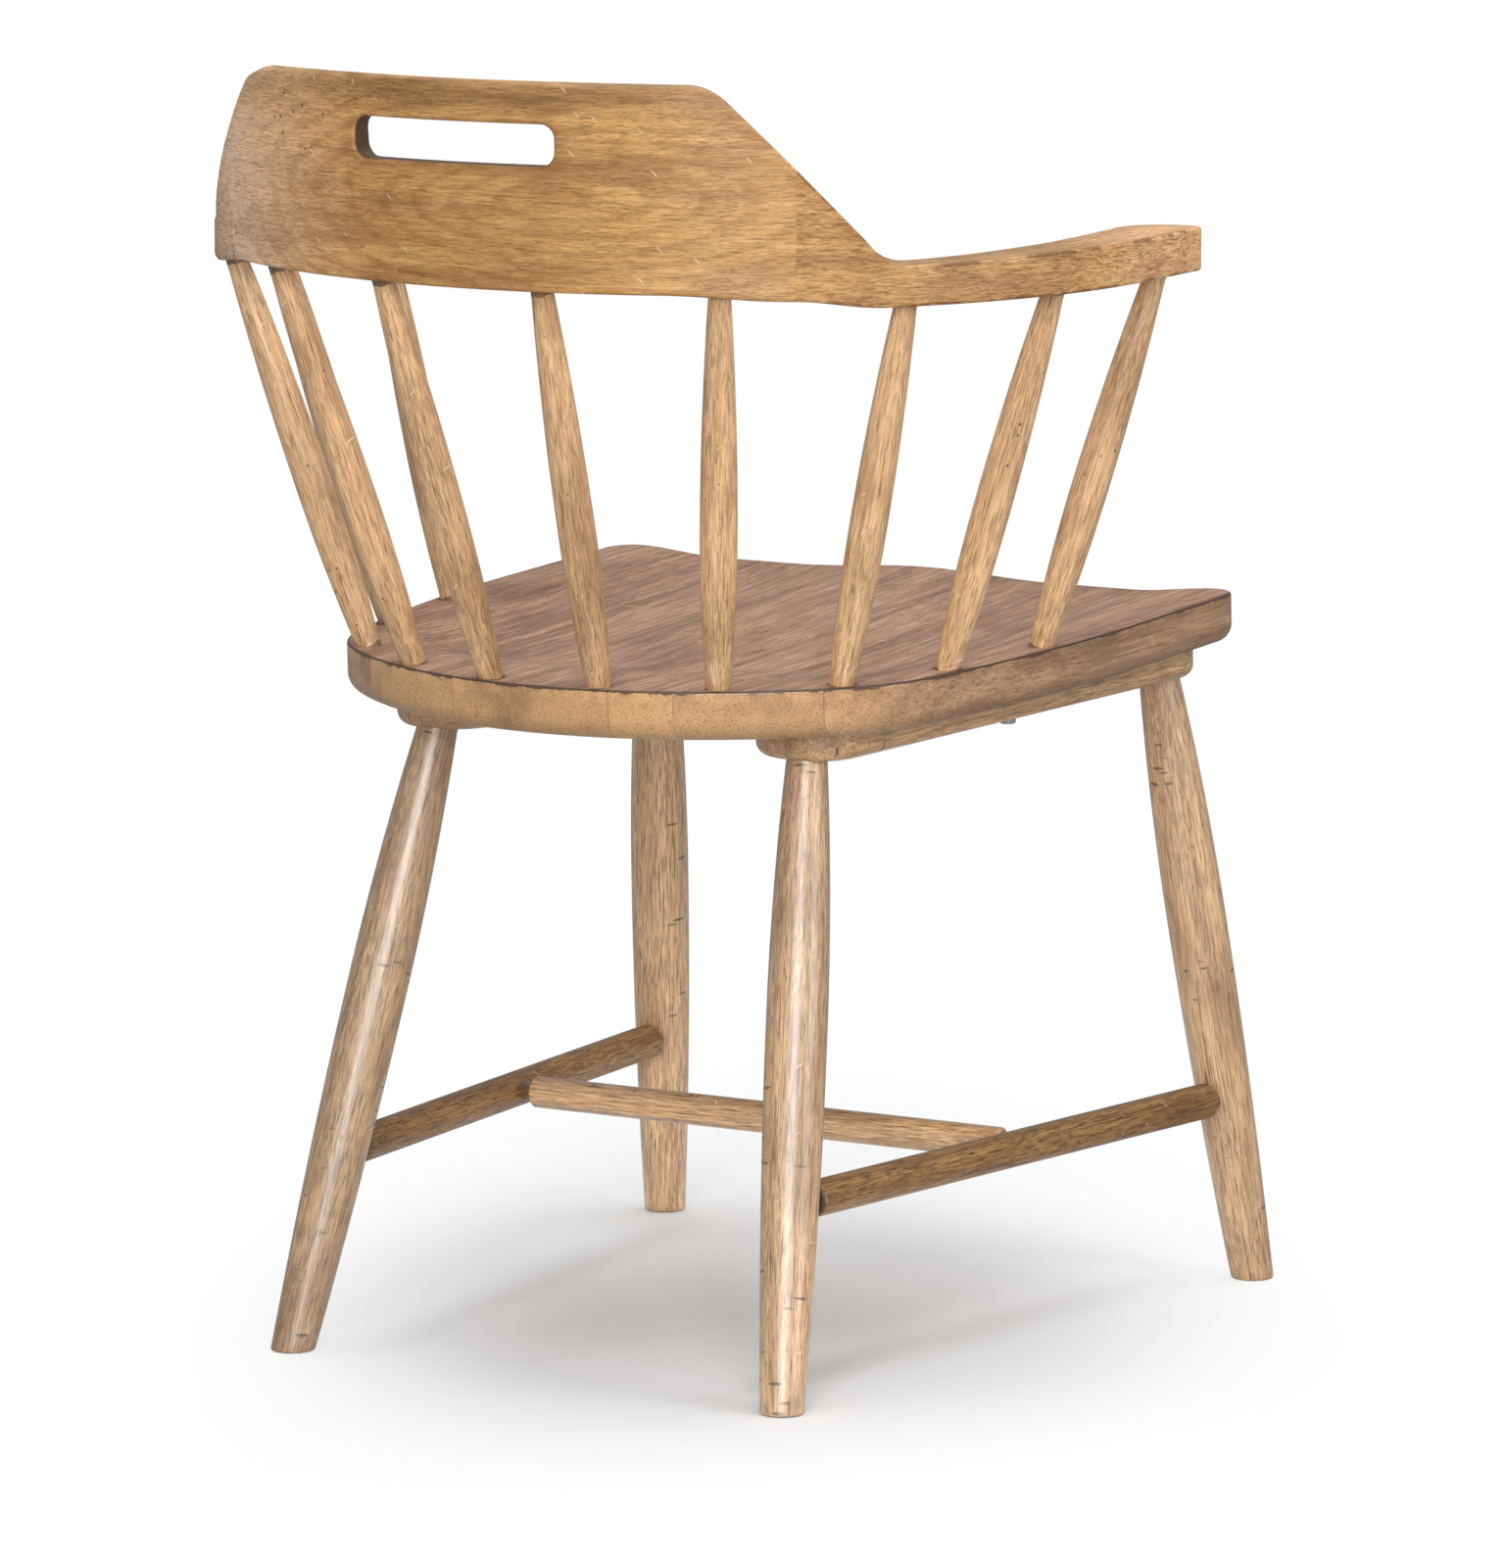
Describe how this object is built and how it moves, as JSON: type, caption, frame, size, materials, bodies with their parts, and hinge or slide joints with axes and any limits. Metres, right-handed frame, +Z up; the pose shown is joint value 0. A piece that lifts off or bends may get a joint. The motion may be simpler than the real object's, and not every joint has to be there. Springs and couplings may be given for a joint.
{
  "type": "dining armchair",
  "caption": "Low-back wooden dining armchair: saddled plank seat, turned splayed legs with an H stretcher, and turned spindles under a curved crest with a hand-hold slot.",
  "frame": {"origin": "on the floor, under the middle of the chair's outline", "axes": "+Z up, the sitter faces -Y, +X is the sitter's left; mirror plane X = 0"},
  "size_m": [0.63, 0.6319, 0.818],
  "materials": {
    "frame_wood": "satin, distressed",
    "seat_wood": "satin, distressed",
    "steel": "zinc plated"
  },
  "bodies": {
    "root": {"arm_dowels": "frame_wood", "arm_left": "frame_wood", "arm_right": "frame_wood", "cleat_left": "frame_wood", "cleat_right": "frame_wood", "cleat_screws": "steel", "crest_board": "frame_wood", "cross_stretcher": "frame_wood", "leg_front_left": "frame_wood", "leg_front_right": "frame_wood", "leg_rear_left": "frame_wood", "leg_rear_right": "frame_wood", "seat_board_1": "seat_wood", "seat_board_2": "seat_wood", "seat_board_3": "seat_wood", "seat_board_4": "seat_wood", "seat_board_5": "seat_wood", "seat_board_6": "seat_wood", "side_stretcher_left": "frame_wood", "side_stretcher_right": "frame_wood", "spindle_left_1": "frame_wood", "spindle_left_2": "frame_wood", "spindle_left_3": "frame_wood", "spindle_left_4": "frame_wood", "spindle_left_5": "frame_wood", "spindle_right_1": "frame_wood", "spindle_right_2": "frame_wood", "spindle_right_3": "frame_wood", "spindle_right_4": "frame_wood", "spindle_right_5": "frame_wood"}
  },
  "joints": []
}
